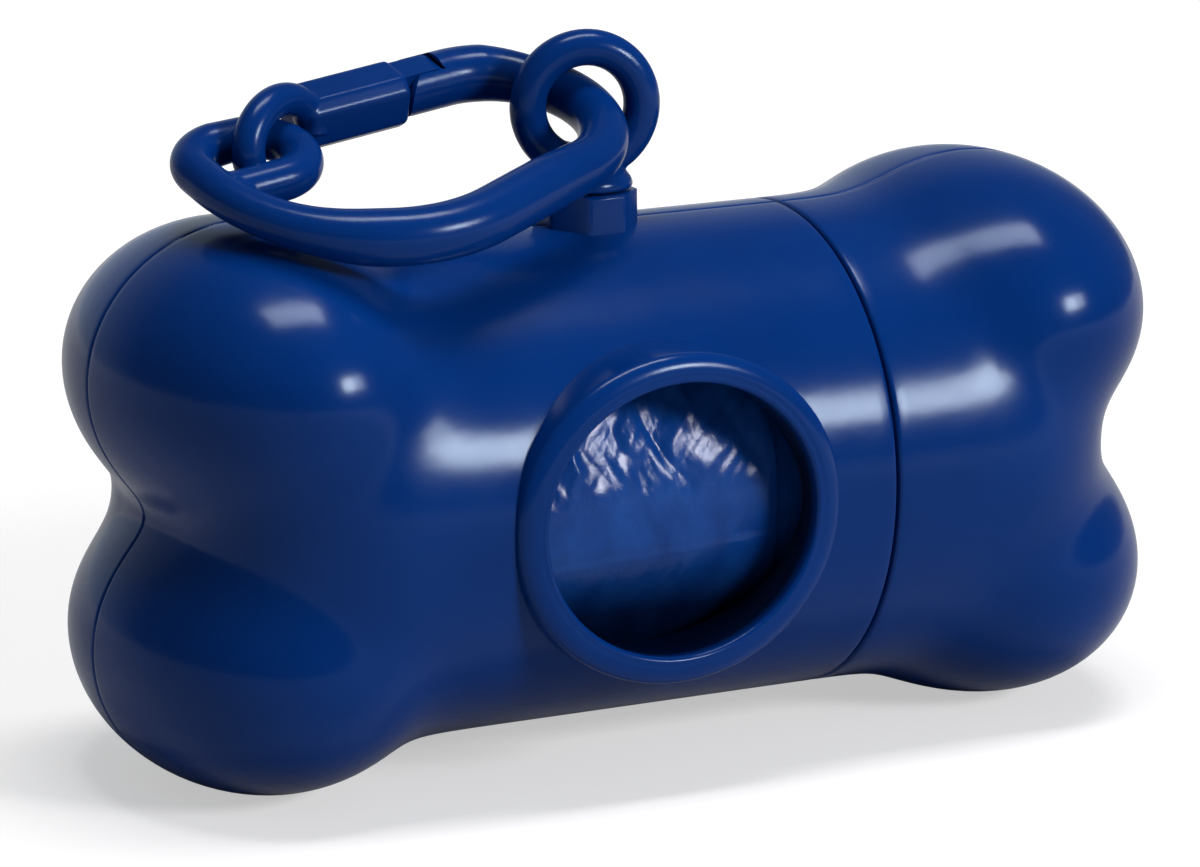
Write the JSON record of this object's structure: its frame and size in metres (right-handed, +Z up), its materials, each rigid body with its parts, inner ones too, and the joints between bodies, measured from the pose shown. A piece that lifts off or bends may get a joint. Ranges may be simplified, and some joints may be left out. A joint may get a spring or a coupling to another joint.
{
  "type": "pet waste bag dispenser",
  "caption": "Bone-shaped waste bag dispenser with a screw-off end, round front outlet, a bag roll inside, a swivelling eye on top and a plastic spring-gate clip.",
  "frame": {"origin": "middle of the bone's footprint, on the surface that it lies on", "axes": "+Z up, X along the bone with the screw cap at +X, bag outlet facing -Y"},
  "size_m": [0.09, 0.0402, 0.0569],
  "materials": {
    "shell_navy": "polished moulding",
    "film": "thin crinkled film",
    "core_card": "wound card",
    "pin_steel": "drawn wire"
  },
  "bodies": {
    "body": {"body_front_shell": "shell_navy", "body_rear_shell": "shell_navy", "outlet_ring": "shell_navy"},
    "neck": {"cap_neck": "shell_navy"},
    "cap": {"cap_front_shell": "shell_navy", "cap_rear_shell": "shell_navy"},
    "roll": {"bag_roll": "film", "roll_core": "core_card", "leading_bag": "film"},
    "swivel": {"swivel_eye": "shell_navy"},
    "clip": {"clip_body": "shell_navy", "gate_pin": "pin_steel"},
    "gate": {"clip_gate": "shell_navy", "gate_spring": "pin_steel"}
  },
  "joints": [
    {"name": "cap_draw", "type": "slide", "parent": "body", "child": "neck", "axis": [1, 0, 0], "range_m": [0, 0.0075]},
    {"name": "cap_turn", "type": "hinge", "parent": "neck", "child": "cap", "pos_m": [0.0149, 0, 0.02209], "axis": [1, 0, 0], "range_deg": [0, 540]},
    {"name": "roll_spin", "type": "hinge", "parent": "body", "child": "roll", "pos_m": [0, 0, 0.02169], "axis": [1, 0, 0], "continuous": true},
    {"name": "swivel_turn", "type": "hinge", "parent": "body", "child": "swivel", "pos_m": [-0.00255, 0, 0.04309], "axis": [0, 0, 1], "range_deg": [0, 135]},
    {"name": "clip_swing", "type": "hinge", "parent": "swivel", "child": "clip", "pos_m": [-0.00255, 0, 0.05089], "axis": [0.225, 0.9744, 0], "range_deg": [0, 165]},
    {"name": "gate_open", "type": "hinge", "parent": "clip", "child": "gate", "pos_m": [-0.01371, 0.00611, 0.05238], "axis": [-0.1649, 0.9269, 0.3372], "range_deg": [0, 50], "stiffness_Nm_per_rad": 0.015, "springref_deg": -20.05}
  ],
  "couplings": [
    {"joint": "cap_draw", "follows": "cap_turn", "m_per_rad": 0.00079577}
  ]
}
